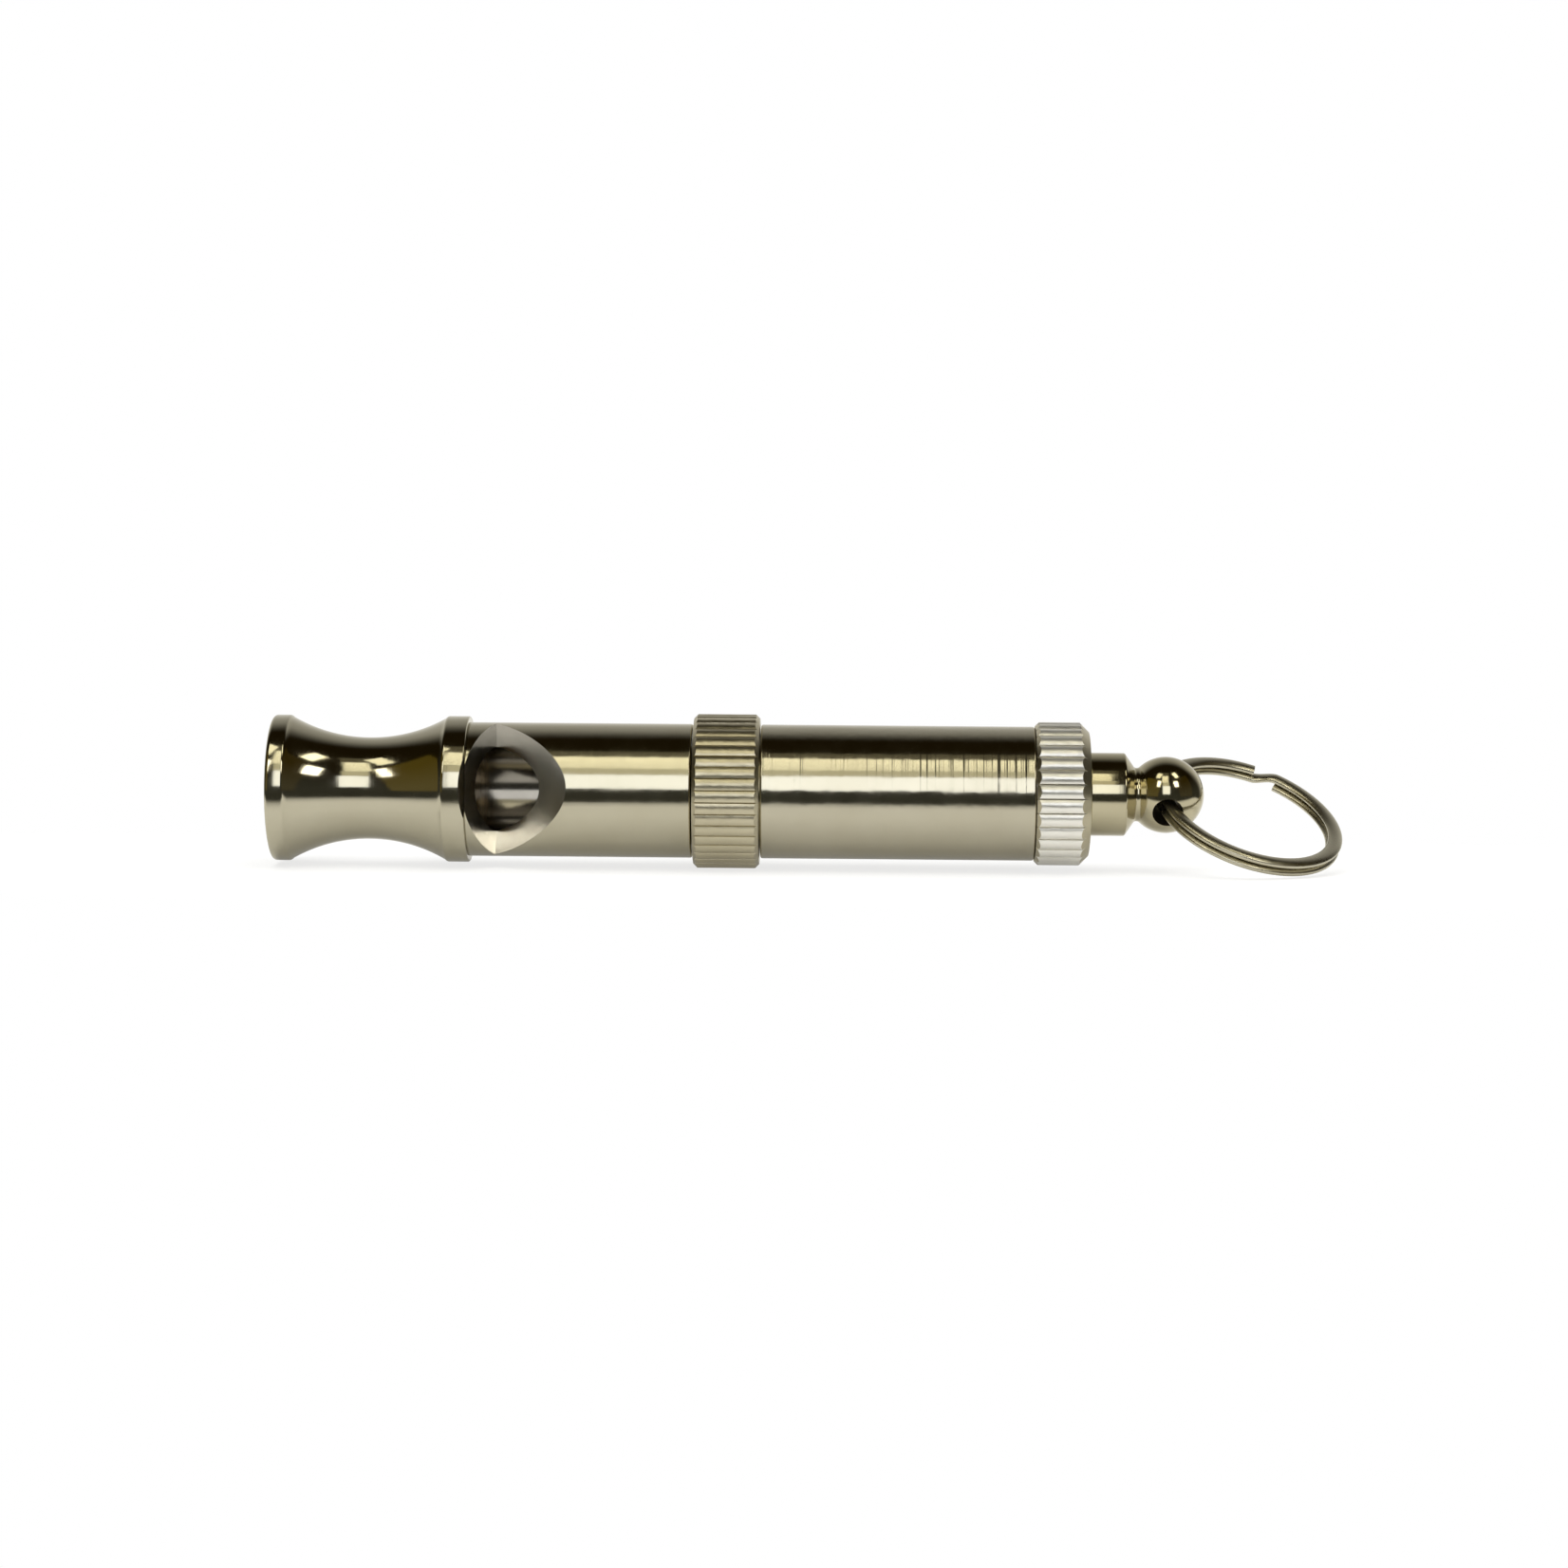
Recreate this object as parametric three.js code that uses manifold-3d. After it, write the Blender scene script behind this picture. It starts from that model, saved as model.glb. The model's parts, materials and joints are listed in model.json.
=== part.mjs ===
// Tunable dog whistle in nickel-plated brass, lying on its side with its key ring on the table.
// Millimetres. The whistle's axis runs along +X from the mouth end to the ring end, +Z is up.
import * as THREE from "three";
import { mergeVertices } from "three/addons/utils/BufferGeometryUtils.js";
import Module from "manifold-3d";

const wasm = await Module();
wasm.setup();

// Mouthpiece: a spool with a flange for the lips, a hollow waist and a collar
const FLANGE_OD = 10.9;
const FLANGE_THICKNESS = 1.45;
const WAIST_OD = 7.6;
const WAIST_LENGTH = 11.45;
const COLLAR_OD = 10.9;
const COLLAR_THICKNESS = 1.8;
const MOUTH_BORE = 5.0;
const MOUTH_LEAD_IN = 0.3;

// Body tube: the sounding tube, with a tenon that sits in the mouthpiece
const TUBE_OD = 10.0;
const TUBE_BORE = 6.4;
const TUBE_LENGTH = 16.75;
const TENON_OD = 8.6;
const TENON_LENGTH = 3.0;
const THREAD_LENGTH = 7.9;

// Sound window: a notch milled by a double-angle cutter, steep behind the windway, flat at the lip
const WINDOW_OFFSET = 2.0;
const WINDOW_FLOOR = 0.3;
const WINDOW_BACK_ANGLE = 25;
const WINDOW_LIP_ANGLE = 49.5;
const WINDOW_ROLL = 5.5;
const CUTTER_RADIUS = 14.0;

// Windway plug: a short cylinder with a flat that leaves a slit along the bore
const PLUG_LENGTH = 2.4;
const PLUG_SETBACK = 0.2;
const WINDWAY_HEIGHT = 0.55;

// Tuning screw: a piston land, an undercut and an eight millimetre thread shown by its crests
const THREAD_OD = 8.0;
const PISTON_LENGTH = 1.2;
const PISTON_INSET = 8.9;
const UNDERCUT_LENGTH = 0.5;
const UNDERCUT_DEPTH = 0.6;
const SCREW_TAIL = 13.0;

// Lock ring: the knurled nut between the tube and the sleeve
const LOCK_OD = 11.5;
const LOCK_LENGTH = 4.9;
const LOCK_TEETH = 40;
const LOCK_TOOTH_DEPTH = 0.28;
const LOCK_CHAMFER = 0.3;

// Rear sleeve: the barrel that turns the tuning screw
const SLEEVE_OD = 10.0;
const SLEEVE_WALL = 0.92;
const SLEEVE_LENGTH = 20.45;

// End cap: the coarse knurled head that closes the sleeve
const CAP_OD = 10.7;
const CAP_LENGTH = 4.05;
const CAP_TEETH = 30;
const CAP_TOOTH_DEPTH = 0.4;
const CAP_FRONT_CHAMFER = 0.3;
const CAP_REAR_CHAMFER = 0.7;
const CAP_SPIGOT_LENGTH = 4.0;

// Ball stud: boss, neck and ball turned in one, with a shank in the cap and a hole for the ring
const BOSS_OD = 6.0;
const BOSS_LENGTH = 2.7;
const BOSS_CHAMFER = 0.75;
const NECK_OD = 4.0;
const NECK_LENGTH = 0.3;
const BALL_OD = 5.7;
const SHANK_OD = 3.2;
const SHANK_LENGTH = 5.0;
const RING_HOLE = 2.6;
const RING_HOLE_DROP = 26;

// Split ring: two flat turns of one wire, joined by a short step
const RING_OD = 14.5;
const RING_SAG = 0.18;
const WIRE_WIDTH = 1.1;
const WIRE_THICKNESS = 0.42;
const COIL_GAP = 0.42;
const STEP_SPAN = 26;
const STEP_PLACE = -74;

// Straight knurls: the shares of a tooth's pitch that its crest and the groove's floor take
const CREST_SHARE = 0.34;
const FLOOR_SHARE = 0.12;

// Clearances and edges
const FIXED_FIT = 0.05;
const RUNNING_FIT = 0.08;
const FACE_GAP = 0.1;
const EDGE = 0.15;

// Fineness of the facets
const ROUND_SEGMENTS = 64;
const CUTTER_SEGMENTS = 96;
const WAIST_SEGMENTS = 14;
const BALL_SEGMENTS = 16;
const HOLE_SEGMENTS = 24;
const TURN_SEGMENTS = 48;

// Stations along the axis, counted from the mouth end
const waistStart = FLANGE_THICKNESS;
const waistEnd = waistStart + WAIST_LENGTH;
const collarEnd = waistEnd + COLLAR_THICKNESS;
const tenonStart = collarEnd - TENON_LENGTH;
const tubeEnd = collarEnd + TUBE_LENGTH - FACE_GAP;
const lockStart = collarEnd + TUBE_LENGTH;
const lockEnd = lockStart + LOCK_LENGTH;
const sleeveStart = lockEnd + FACE_GAP;
const sleeveEnd = lockEnd + SLEEVE_LENGTH;
const capStart = sleeveEnd + FIXED_FIT;
const capEnd = sleeveEnd + CAP_LENGTH;
const bossStart = capEnd + FIXED_FIT;
const chamferStart = capEnd + BOSS_LENGTH;
const neckStart = chamferStart + BOSS_CHAMFER;
const neckEnd = neckStart + NECK_LENGTH;
const windowCrease = collarEnd + WINDOW_OFFSET;
const pistonFace = lockStart - PISTON_INSET;
const threadBore = THREAD_OD / 2 + RUNNING_FIT;
const sleeveBore = SLEEVE_OD / 2 - SLEEVE_WALL;

const radians = THREE.MathUtils.degToRad;

// Joins a geometry's shared corners and turns it into a solid that can be cut and joined
function solidFrom(geometry) {
  const bare = geometry.clone();
  bare.deleteAttribute("normal");
  bare.deleteAttribute("uv");
  const merged = mergeVertices(bare);
  const corners = [];
  const index = merged.index.array;
  for (let i = 0; i < index.length; i += 3) {
    const [a, b, c] = index.subarray(i, i + 3);
    if (a !== b && b !== c && c !== a) corners.push(a, b, c);
  }
  const vertProperties = new Float32Array(merged.attributes.position.array);
  const triVerts = new Uint32Array(corners);
  return new wasm.Manifold(new wasm.Mesh({ numProp: 3, vertProperties, triVerts }));
}

function geometryFrom(solid) {
  const mesh = solid.getMesh();
  const geometry = new THREE.BufferGeometry();
  geometry.setAttribute("position", new THREE.BufferAttribute(mesh.vertProperties, 3));
  geometry.setIndex(new THREE.BufferAttribute(mesh.triVerts, 1));
  geometry.computeVertexNormals();
  return geometry;
}

// Turns a closed outline of [station, radius] points about the whistle's axis
function turned(outline, segments = ROUND_SEGMENTS) {
  const loop = outline.map(([station, radius]) => new THREE.Vector2(radius, station));
  if (THREE.ShapeUtils.isClockWise(loop)) loop.reverse();
  loop.push(loop[0].clone());
  const geometry = new THREE.LatheGeometry(loop, segments);
  return geometry.rotateZ(-Math.PI / 2);
}

// Points on an arc in the plane of station and radius, from one angle to another
function arcPoints(station, radius, arcRadius, from, to, steps) {
  const points = [];
  for (let i = 0; i <= steps; i++) {
    const angle = from + ((to - from) * i) / steps;
    points.push([station + arcRadius * Math.cos(angle), radius + arcRadius * Math.sin(angle)]);
  }
  return points;
}

// Lays a flat shape across the axis: the shape's x points down and its y points away from the window
function acrossAxis(shape, start, length) {
  const geometry = new THREE.ExtrudeGeometry(shape, {
    depth: length,
    bevelEnabled: false,
    curveSegments: ROUND_SEGMENTS,
  });
  return geometry.rotateY(Math.PI / 2).translate(start, 0, 0);
}

// A straight-knurled bar with a gap between two teeth at the bottom
function serratedBar(diameter, toothDepth, teeth, start, length) {
  const crest = diameter / 2;
  const root = crest - toothDepth;
  const pitch = (2 * Math.PI) / teeth;
  const points = [];
  for (let i = 0; i < teeth; i++) {
    const groove = i * pitch;
    const corners = [
      [root, groove - (FLOOR_SHARE * pitch) / 2],
      [root, groove + (FLOOR_SHARE * pitch) / 2],
      [crest, groove + ((1 - CREST_SHARE) * pitch) / 2],
      [crest, groove + ((1 + CREST_SHARE) * pitch) / 2],
    ];
    for (const [radius, angle] of corners) {
      points.push(new THREE.Vector2(radius * Math.cos(angle), radius * Math.sin(angle)));
    }
  }
  return acrossAxis(new THREE.Shape(points), start, length);
}

// The path of the double-angle cutter, with its axis parallel to the whistle's
function windowCutter() {
  const back = CUTTER_RADIUS * Math.tan(radians(WINDOW_BACK_ANGLE));
  const lip = CUTTER_RADIUS * Math.tan(radians(WINDOW_LIP_ANGLE));
  const outline = [
    [-back, 0],
    [0, CUTTER_RADIUS],
    [lip, 0],
  ];
  const roll = radians(WINDOW_ROLL);
  const height = CUTTER_RADIUS + WINDOW_FLOOR;
  const cutter = turned(outline, CUTTER_SEGMENTS);
  cutter.translate(windowCrease, -height * Math.cos(roll), height * Math.sin(roll));
  return solidFrom(cutter);
}

const cutter = windowCutter();

// The hollow of the waist: one arc through both rims that is deepest at the waist's diameter
function waistCurve(topRadius, footRadius) {
  const middle = (waistStart + waistEnd) / 2;
  const half = WAIST_LENGTH / 2;
  const rim = (topRadius + footRadius) / 2;
  const sagitta = rim - WAIST_OD / 2;
  const arcRadius = (half * half + sagitta * sagitta) / (2 * sagitta);
  const reach = Math.asin(half / arcRadius);
  const centre = WAIST_OD / 2 + arcRadius;
  const from = -Math.PI / 2 - reach;
  const to = -Math.PI / 2 + reach;
  const points = arcPoints(middle, centre, arcRadius, from, to, WAIST_SEGMENTS);
  points[0][1] = topRadius;
  points[WAIST_SEGMENTS][1] = footRadius;
  return points;
}

function mouthpiece() {
  const flange = FLANGE_OD / 2;
  const collar = COLLAR_OD / 2;
  const bore = MOUTH_BORE / 2;
  const socket = TENON_OD / 2 + FIXED_FIT;
  const waistTop = flange - EDGE;
  const waistFoot = collar - EDGE;
  const outline = [
    [0, bore + MOUTH_LEAD_IN],
    [0, flange - EDGE],
    [EDGE, flange],
    [waistStart - EDGE, flange],
    ...waistCurve(waistTop, waistFoot),
    [waistEnd + EDGE, collar],
    [collarEnd - EDGE, collar],
    [collarEnd, collar - EDGE],
    [collarEnd, socket],
    [tenonStart, socket],
    [tenonStart, bore],
    [MOUTH_LEAD_IN, bore],
  ];
  return geometryFrom(solidFrom(turned(outline)).subtract(cutter));
}

function bodyTube() {
  const bore = TUBE_BORE / 2;
  const outside = TUBE_OD / 2;
  const outline = [
    [tenonStart + FACE_GAP, bore],
    [tenonStart + FACE_GAP, TENON_OD / 2],
    [collarEnd + FIXED_FIT, TENON_OD / 2],
    [collarEnd + FIXED_FIT, outside],
    [tubeEnd - EDGE, outside],
    [tubeEnd, outside - EDGE],
    [tubeEnd, threadBore],
    [lockStart - THREAD_LENGTH, threadBore],
    [lockStart - THREAD_LENGTH, bore],
  ];
  return geometryFrom(solidFrom(turned(outline)).subtract(cutter));
}

function windwayPlug() {
  const radius = TUBE_BORE / 2 - FIXED_FIT;
  const flat = TUBE_BORE / 2 - WINDWAY_HEIGHT;
  const cornerAngle = Math.acos(flat / radius);
  const windowAngle = -Math.PI / 2 - radians(WINDOW_ROLL);
  const backOfNotch = (TUBE_BORE / 2 - WINDOW_FLOOR) * Math.tan(radians(WINDOW_BACK_ANGLE));
  const end = windowCrease - backOfNotch - PLUG_SETBACK;
  const shape = new THREE.Shape();
  shape.absarc(0, 0, radius, windowAngle + cornerAngle, windowAngle - cornerAngle + 2 * Math.PI, false);
  shape.closePath();
  return acrossAxis(shape, end - PLUG_LENGTH, PLUG_LENGTH);
}

function tuningScrew() {
  const piston = TUBE_BORE / 2 - RUNNING_FIT;
  const thread = THREAD_OD / 2;
  const landEnd = pistonFace + PISTON_LENGTH;
  const threadStart = landEnd + UNDERCUT_LENGTH;
  const tail = sleeveBore - RUNNING_FIT;
  const tailStart = sleeveStart - FACE_GAP / 2;
  const tailEnd = sleeveStart + SCREW_TAIL;
  const outline = [
    [pistonFace, 0],
    [pistonFace, piston - EDGE],
    [pistonFace + EDGE, piston],
    [landEnd, piston],
    [landEnd, piston - UNDERCUT_DEPTH],
    [threadStart, piston - UNDERCUT_DEPTH],
    [threadStart + thread - piston + UNDERCUT_DEPTH, thread],
    [tailStart, thread],
    [tailStart, tail],
    [tailEnd - EDGE, tail],
    [tailEnd, tail - EDGE],
    [tailEnd, 0],
  ];
  return geometryFrom(solidFrom(turned(outline)));
}

function lockRing() {
  const crest = LOCK_OD / 2;
  const spare = LOCK_TOOTH_DEPTH;
  const edge = crest - LOCK_CHAMFER;
  const blank = turned([
    [lockStart, threadBore],
    [lockStart, edge],
    [lockStart + LOCK_CHAMFER + spare, crest + spare],
    [lockEnd - LOCK_CHAMFER - spare, crest + spare],
    [lockEnd, edge],
    [lockEnd, threadBore],
  ]);
  const bar = serratedBar(LOCK_OD, LOCK_TOOTH_DEPTH, LOCK_TEETH, lockStart - spare, LOCK_LENGTH + 2 * spare);
  return geometryFrom(solidFrom(bar).intersect(solidFrom(blank)));
}

function rearSleeve() {
  const outside = SLEEVE_OD / 2;
  return turned([
    [sleeveStart, sleeveBore],
    [sleeveStart, outside - EDGE],
    [sleeveStart + EDGE, outside],
    [sleeveEnd - EDGE, outside],
    [sleeveEnd, outside - EDGE],
    [sleeveEnd, sleeveBore],
  ]);
}

function endCap() {
  const crest = CAP_OD / 2;
  const spigot = sleeveBore - FIXED_FIT;
  const spare = CAP_TOOTH_DEPTH;
  const overlap = CAP_LENGTH / 2;
  const blank = turned([
    [capStart, 0],
    [capStart, crest - CAP_FRONT_CHAMFER],
    [capStart + CAP_FRONT_CHAMFER + spare, crest + spare],
    [capEnd - CAP_REAR_CHAMFER - spare, crest + spare],
    [capEnd, crest - CAP_REAR_CHAMFER],
    [capEnd, 0],
  ]);
  const bar = serratedBar(CAP_OD, CAP_TOOTH_DEPTH, CAP_TEETH, capStart - spare, CAP_LENGTH + 2 * spare);
  const plug = turned([
    [capStart - CAP_SPIGOT_LENGTH, 0],
    [capStart - CAP_SPIGOT_LENGTH, spigot - EDGE],
    [capStart - CAP_SPIGOT_LENGTH + EDGE, spigot],
    [capStart + overlap, spigot],
    [capStart + overlap, 0],
  ]);
  const shankHole = turned([
    [capEnd - SHANK_LENGTH - FACE_GAP, 0],
    [capEnd - SHANK_LENGTH - FACE_GAP, SHANK_OD / 2 + FIXED_FIT],
    [capEnd + overlap, SHANK_OD / 2 + FIXED_FIT],
    [capEnd + overlap, 0],
  ]);
  const head = solidFrom(bar).intersect(solidFrom(blank));
  return geometryFrom(head.add(solidFrom(plug)).subtract(solidFrom(shankHole)));
}

// The ball's centre, where its sphere meets the end of the neck
const ball = BALL_OD / 2;
const neck = NECK_OD / 2;
const ballStation = neckEnd + Math.sqrt(ball * ball - neck * neck);

// The ring hole's direction, towards the window side and down
const holeDrop = radians(RING_HOLE_DROP);
const holeAxis = new THREE.Vector3(0, -Math.cos(holeDrop), -Math.sin(holeDrop));

function ballStud() {
  const boss = BOSS_OD / 2;
  const neckAngle = Math.PI - Math.asin(neck / ball);
  const outline = [
    [capEnd - SHANK_LENGTH, 0],
    [capEnd - SHANK_LENGTH, SHANK_OD / 2],
    [bossStart, SHANK_OD / 2],
    [bossStart, boss],
    [chamferStart, boss],
    [neckStart, neck],
    ...arcPoints(ballStation, 0, ball, neckAngle, 0, BALL_SEGMENTS),
  ];
  outline[outline.length - 1][1] = 0;
  const hole = new THREE.CylinderGeometry(RING_HOLE / 2, RING_HOLE / 2, 2 * BALL_OD, HOLE_SEGMENTS);
  hole.applyQuaternion(new THREE.Quaternion().setFromUnitVectors(new THREE.Vector3(0, 1, 0), holeAxis));
  hole.translate(ballStation, 0, 0);
  return geometryFrom(solidFrom(turned(outline)).subtract(solidFrom(hole)));
}

// The split ring's sizes, and how far its centre lies from the hole's axis: it threads the hole
// evenly and then slides out a little under its own weight
const ringOuter = RING_OD / 2;
const ringInner = ringOuter - WIRE_WIDTH;
const ringPitch = WIRE_THICKNESS + COIL_GAP;
const ringReach = (ringOuter + Math.sqrt(ringInner * ringInner - ball * ball)) / 2 + RING_SAG;

// Height of the wire's middle above the ring's middle plane: flat, one smooth step, flat
function wireHeight(angle) {
  const share = (angle - (360 - STEP_SPAN / 2)) / STEP_SPAN;
  return ringPitch * (0.5 - THREE.MathUtils.smoothstep(share, 0, 1));
}

// One unbroken wire, two turns less the span of the step, as rings of section corners with capped ends
function splitRing() {
  const first = STEP_SPAN / 2;
  const last = 720 - STEP_SPAN / 2;
  const steps = Math.round(((last - first) / 360) * TURN_SEGMENTS);
  const half = WIRE_THICKNESS / 2;
  const section = [
    [ringInner, -half],
    [ringOuter, -half],
    [ringOuter, half],
    [ringInner, half],
  ];
  const sides = section.length;
  const positions = [];
  const index = [];
  for (let i = 0; i <= steps; i++) {
    const angle = first + ((last - first) * i) / steps;
    const turn = radians(angle + STEP_PLACE);
    for (const [radius, offset] of section) {
      positions.push(radius * Math.cos(turn), radius * Math.sin(turn), wireHeight(angle) + offset);
    }
    if (i === 0) continue;
    for (let j = 0; j < sides; j++) {
      const a = (i - 1) * sides + j;
      const b = (i - 1) * sides + ((j + 1) % sides);
      index.push(a, a + sides, b, b, a + sides, b + sides);
    }
  }
  const end = steps * sides;
  index.push(0, 1, 2, 0, 2, 3);
  index.push(end, end + 2, end + 1, end, end + 3, end + 2);
  const geometry = new THREE.BufferGeometry();
  geometry.setAttribute("position", new THREE.Float32BufferAttribute(positions, 3));
  geometry.setIndex(index);
  geometry.computeVertexNormals();
  console.log(`split ring: least gap between its turns ${leastCoilGap(positions, sides).toFixed(3)} mm`);
  return geometry;
}

// Least distance between corners of the wire that lie more than a quarter turn apart along it
function leastCoilGap(positions, sides) {
  const apart = (TURN_SEGMENTS / 4) * sides;
  const count = positions.length / 3;
  let least = Infinity;
  for (let i = 0; i < count; i++) {
    for (let j = i + apart; j < count; j++) {
      const dx = positions[3 * i] - positions[3 * j];
      const dy = positions[3 * i + 1] - positions[3 * j + 1];
      const dz = positions[3 * i + 2] - positions[3 * j + 2];
      least = Math.min(least, Math.hypot(dx, dy, dz));
    }
  }
  return least;
}

// How far the ring's lowest edge lies below the whistle's axis when it droops by an angle
function ringDepth(droop) {
  const down = Math.sin(droop) * Math.cos(holeDrop);
  const thickness = (WIRE_THICKNESS + ringPitch) / 2;
  const slope = Math.hypot(down, Math.sin(holeDrop));
  return ringReach * down + ringOuter * slope + thickness * Math.cos(droop) * Math.cos(holeDrop);
}

// The droop at which the ring just rests on the table, found by halving
function restingDroop(tableDepth) {
  let low = -Math.PI / 2;
  let high = Math.PI / 2;
  const halvings = 40;
  for (let i = 0; i < halvings; i++) {
    const middle = (low + high) / 2;
    if (ringDepth(middle) < tableDepth) low = middle;
    else high = middle;
  }
  return low;
}

function part(name, geometry, colour, roughness) {
  const material = new THREE.MeshStandardMaterial({ color: colour, roughness, metalness: 1 });
  const mesh = new THREE.Mesh(geometry, material);
  mesh.name = name;
  return mesh;
}

const whistle = new THREE.Group();
whistle.add(
  part("mouthpiece", mouthpiece(), 0xcfc8b8, 0.08),
  part("windway_plug", windwayPlug(), 0xb9a77c, 0.35),
  part("body_tube", bodyTube(), 0xcbc4b3, 0.12),
  part("tuning_screw", tuningScrew(), 0xc4b999, 0.3),
  part("lock_ring", lockRing(), 0xbdb5a0, 0.25),
  part("rear_sleeve", rearSleeve(), 0xcac3b4, 0.16),
  part("end_cap", endCap(), 0xd8d4c8, 0.25),
  part("ball_stud", ballStud(), 0xc2b9a4, 0.08),
);

// The key ring hangs in the ball's hole and droops until it rests on the table
const tableDepth = -new THREE.Box3().setFromObject(whistle).min.z;
const droop = restingDroop(tableDepth);
const rise = new THREE.Vector3(0, holeAxis.z, -holeAxis.y);
const reachAxis = new THREE.Vector3(Math.cos(droop), 0, 0).addScaledVector(rise, -Math.sin(droop));
const ringBasis = new THREE.Matrix4().makeBasis(reachAxis, holeAxis, reachAxis.clone().cross(holeAxis));
const ringHinge = new THREE.Group();
ringHinge.position.set(ballStation, 0, 0);
ringHinge.quaternion.setFromRotationMatrix(ringBasis);
const ring = part("split_ring", splitRing(), 0xa9a28e, 0.18);
ring.position.x = ringReach;
ringHinge.add(ring);
whistle.add(ringHinge);

// The origin lies under the middle of the whole whistle, on the table
const box = new THREE.Box3().setFromObject(whistle, true);
const middle = box.getCenter(new THREE.Vector3());
whistle.position.set(-middle.x, -middle.y, -box.min.z);

export default whistle;
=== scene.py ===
import json
import math

import bmesh
import bpy
from mathutils import Matrix, Vector


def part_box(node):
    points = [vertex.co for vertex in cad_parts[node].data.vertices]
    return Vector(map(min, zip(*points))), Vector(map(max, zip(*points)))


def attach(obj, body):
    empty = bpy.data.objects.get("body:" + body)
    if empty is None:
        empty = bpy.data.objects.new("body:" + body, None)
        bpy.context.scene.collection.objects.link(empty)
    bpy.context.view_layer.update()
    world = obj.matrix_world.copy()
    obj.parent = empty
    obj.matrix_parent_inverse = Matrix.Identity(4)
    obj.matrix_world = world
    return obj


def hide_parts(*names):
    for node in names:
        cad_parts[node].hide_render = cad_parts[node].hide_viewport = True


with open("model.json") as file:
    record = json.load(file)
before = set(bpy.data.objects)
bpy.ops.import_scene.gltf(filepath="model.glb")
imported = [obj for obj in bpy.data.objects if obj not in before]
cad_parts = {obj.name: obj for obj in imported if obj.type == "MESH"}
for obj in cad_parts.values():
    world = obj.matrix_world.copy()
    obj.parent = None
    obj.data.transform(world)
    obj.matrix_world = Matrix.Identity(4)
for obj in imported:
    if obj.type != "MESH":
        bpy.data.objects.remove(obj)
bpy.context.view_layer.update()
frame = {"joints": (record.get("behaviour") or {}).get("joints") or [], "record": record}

# Mouthpiece: a spool with a flange for the lips, a hollow waist and a collar. It is turned from
# brass bar, bored through, polished and nickel plated, and the tube's tenon is soldered into it.
MM = 0.001
ROUND_STEPS = 192
CORNER_STEPS = 5
MERGE_DISTANCE = 0.0005
SHARP_ANGLE = 32
mouth_low, mouth_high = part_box("mouthpiece")
MOUTH = Vector((mouth_low.x, (mouth_low.y + mouth_high.y) / 2, (mouth_low.z + mouth_high.z) / 2))
FLANGE_RADIUS = 5.45
FLANGE_END = 1.45
FLANGE_ROUNDING = 0.3
WAIST_RADIUS = 3.8
WAIST_END = 12.9
WAIST_CHAMFER = 0.15
WAIST_STEPS = 48
COLLAR_END = 14.7
SOCKET_START = 11.7
SOCKET_RADIUS = 4.35
MOUTH_BORE = 2.5
MOUTH_LEAD_IN = 0.35
MOUTH_ROUNDING = 0.12
BORE_MARGIN = 0.01


def arc(station, radius, size, start, end, steps):
    """Points of an outline on an arc, from one angle to another in degrees."""
    angles = [math.radians(start + (end - start) * i / steps) for i in range(steps + 1)]
    return [(station + size * math.cos(a), radius + size * math.sin(a), 0) for a in angles]


def placed(name, bm, *finishes):
    """Makes a finished bmesh an object that sits at the origin, with its finishes."""
    bmesh.ops.remove_doubles(bm, verts=bm.verts[:], dist=MERGE_DISTANCE * MM)
    bmesh.ops.recalc_face_normals(bm, faces=bm.faces[:])
    mesh = bpy.data.meshes.new(name)
    bm.to_mesh(mesh)
    bm.free()
    for finish in finishes:
        mesh.materials.append(finish)
    piece = bpy.data.objects.new(name, mesh)
    bpy.context.scene.collection.objects.link(piece)
    return piece


def spun(bm, outline, closed=True):
    """Spins an outline about the whistle's axis. It gives stations, radii and corner roundings, in
    millimetres."""
    corners = [
        bm.verts.new(MOUTH + Vector((station, 0, radius)) * MM)
        for station, radius, rounding in outline
    ]
    ring = corners + corners[:1] if closed else corners
    for pair in zip(ring, ring[1:]):
        bm.edges.new(pair)
    for size in sorted({rounding for station, radius, rounding in outline if rounding}):
        chosen = [corner for corner, point in zip(corners, outline) if point[2] == size]
        bmesh.ops.bevel(
            bm,
            geom=chosen,
            offset=size * MM,
            affect="VERTICES",
            segments=CORNER_STEPS,
            profile=0.5,
            material=-1,
        )
    profile = [edge for edge in bm.edges if edge.is_wire]
    points = list({vert for edge in profile for vert in edge.verts})
    bmesh.ops.spin(
        bm,
        geom=points + profile,
        cent=MOUTH,
        axis=(1, 0, 0),
        angle=2 * math.pi,
        steps=ROUND_STEPS,
        use_merge=True,
    )
    return bm


def bored(bm, radius):
    """Gives the faces of a bore the piece's third finish."""
    for face in bm.faces:
        middle = face.calc_center_median() - MOUTH
        if math.hypot(middle.y, middle.z) < (radius + BORE_MARGIN) * MM:
            face.material_index = 2
    return bm


def smoothed(piece):
    """Smooth shading that stays sharp at real edges and true on broad faces beside narrow ones."""
    piece.data.polygons.foreach_set("use_smooth", [True] * len(piece.data.polygons))
    piece.data.set_sharp_from_angle(angle=math.radians(SHARP_ANGLE))
    weighted = piece.modifiers.new("broad faces first", "WEIGHTED_NORMAL")
    weighted.mode = "FACE_AREA"
    weighted.keep_sharp = True
    return piece


def fitted(piece, node, body):
    """Puts a piece on its body in place of its CAD node."""
    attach(piece, body)
    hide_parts(node)


def linear(hex_colour):
    """Linear colour of an sRGB hex value."""
    channels = [int(hex_colour[i:i + 2], 16) / 255 for i in (1, 3, 5)]
    return [c / 12.92 if c <= 0.04045 else ((c + 0.055) / 1.055) ** 2.4 for c in channels] + [1]


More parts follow.
